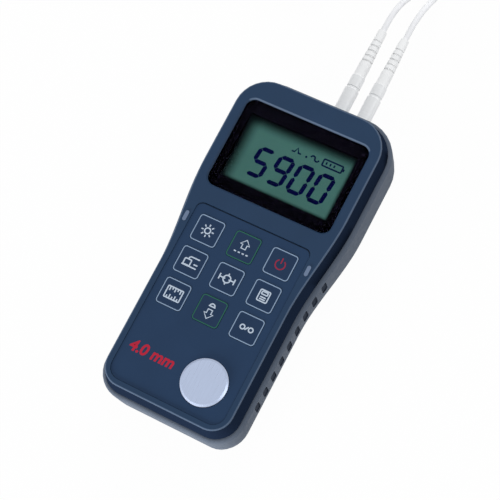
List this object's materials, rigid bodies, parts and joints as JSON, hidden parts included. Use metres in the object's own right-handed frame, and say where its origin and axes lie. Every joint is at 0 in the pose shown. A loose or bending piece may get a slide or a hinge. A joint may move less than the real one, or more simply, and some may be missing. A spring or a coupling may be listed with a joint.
{
  "type": "ultrasonic thickness gauge",
  "caption": "Hand-held ultrasonic thickness gauge with display, keypad, round steel test block and a coiled probe lead on two coaxial plugs.",
  "frame": {"origin": "middle of the gauge's plan, on the plane that its back lies on", "axes": "+Y to the display end, +X to the right as the face is read, +Z out of the face"},
  "size_m": [0.0915, 0.3126, 0.0326],
  "materials": {
    "cover_plastic": "fine satin texture",
    "case_plastic": "fine satin texture",
    "seal_rubber": "matt",
    "screw_steel": "zinc plated",
    "frame_black": "matt black",
    "pane_clear": "clear, polished",
    "display_glass": "grey-green, polished",
    "panel_white": "matt",
    "strip_rubber": "matt",
    "overlay_film": "fine matt film",
    "key_film": "fine matt film",
    "switch_black": "matt",
    "board_green": "solder mask",
    "block_steel": "ground",
    "nickel": "satin nickel",
    "cell_jacket": "plain sleeve",
    "contact_metal": "plated",
    "spring_steel": "plated",
    "boot_rubber": "pale grey, matt",
    "cable_jacket": "pale grey, satin",
    "joint_grey": "moulded, matt",
    "tie_black": "matt strap",
    "probe_metal": "turned, satin",
    "probe_wear": "ground resin",
    "probe_rubber": "matt"
  },
  "bodies": {
    "gauge": {"front_cover": "cover_plastic", "rear_case": "case_plastic", "case_gasket": "seal_rubber", "case_screws": "screw_steel", "display_frame": "frame_black", "display_pane": "pane_clear", "display_cell": "display_glass", "backlight_panel": "panel_white", "contact_strips": "strip_rubber", "keypad_overlay": "overlay_film", "key_switches": "switch_black", "sounder": "switch_black", "board_chips": "switch_black", "main_board": "board_green", "test_block": "block_steel", "socket_send": "nickel", "socket_receive": "nickel", "socket_nuts": "nickel", "plug_send": "nickel", "plug_receive": "nickel", "cell_left": "cell_jacket", "cell_right": "cell_jacket", "contact_bridge": "contact_metal", "contact_tabs": "contact_metal", "battery_springs": "spring_steel", "boot_send": "boot_rubber", "boot_receive": "boot_rubber", "lead_send": "cable_jacket", "lead_receive": "cable_jacket", "cable_run": "cable_jacket", "cable_coil": "cable_jacket", "cable_tail": "cable_jacket", "lead_joint": "joint_grey", "coil_tie": "tie_black", "probe_case": "probe_metal", "probe_face": "probe_wear", "probe_boot": "probe_rubber"},
    "key_light": {"key_light": "key_film"},
    "key_up": {"key_up": "key_film"},
    "key_power": {"key_power": "key_film"},
    "key_probe": {"key_probe": "key_film"},
    "key_calibrate": {"key_calibrate": "key_film"},
    "key_store": {"key_store": "key_film"},
    "key_units": {"key_units": "key_film"},
    "key_down": {"key_down": "key_film"},
    "key_zero": {"key_zero": "key_film"},
    "battery_door": {"battery_cover": "case_plastic"}
  },
  "joints": [
    {"name": "key_light_press", "type": "slide", "parent": "gauge", "child": "key_light", "axis": [0, 0, -1], "range_m": [0, 0.0005], "stiffness_N_per_m": 1500, "springref_m": -0.0005},
    {"name": "key_up_press", "type": "slide", "parent": "gauge", "child": "key_up", "axis": [0, 0, -1], "range_m": [0, 0.0005], "stiffness_N_per_m": 1500, "springref_m": -0.0005},
    {"name": "key_power_press", "type": "slide", "parent": "gauge", "child": "key_power", "axis": [0, 0, -1], "range_m": [0, 0.0005], "stiffness_N_per_m": 1500, "springref_m": -0.0005},
    {"name": "key_probe_press", "type": "slide", "parent": "gauge", "child": "key_probe", "axis": [0, 0, -1], "range_m": [0, 0.0005], "stiffness_N_per_m": 1500, "springref_m": -0.0005},
    {"name": "key_calibrate_press", "type": "slide", "parent": "gauge", "child": "key_calibrate", "axis": [0, 0, -1], "range_m": [0, 0.0005], "stiffness_N_per_m": 1500, "springref_m": -0.0005},
    {"name": "key_store_press", "type": "slide", "parent": "gauge", "child": "key_store", "axis": [0, 0, -1], "range_m": [0, 0.0005], "stiffness_N_per_m": 1500, "springref_m": -0.0005},
    {"name": "key_units_press", "type": "slide", "parent": "gauge", "child": "key_units", "axis": [0, 0, -1], "range_m": [0, 0.0005], "stiffness_N_per_m": 1500, "springref_m": -0.0005},
    {"name": "key_down_press", "type": "slide", "parent": "gauge", "child": "key_down", "axis": [0, 0, -1], "range_m": [0, 0.0005], "stiffness_N_per_m": 1500, "springref_m": -0.0005},
    {"name": "key_zero_press", "type": "slide", "parent": "gauge", "child": "key_zero", "axis": [0, 0, -1], "range_m": [0, 0.0005], "stiffness_N_per_m": 1500, "springref_m": -0.0005},
    {"name": "battery_cover_slide", "type": "slide", "parent": "gauge", "child": "battery_door", "axis": [0, -1, 0], "range_m": [0, 0.068]}
  ]
}
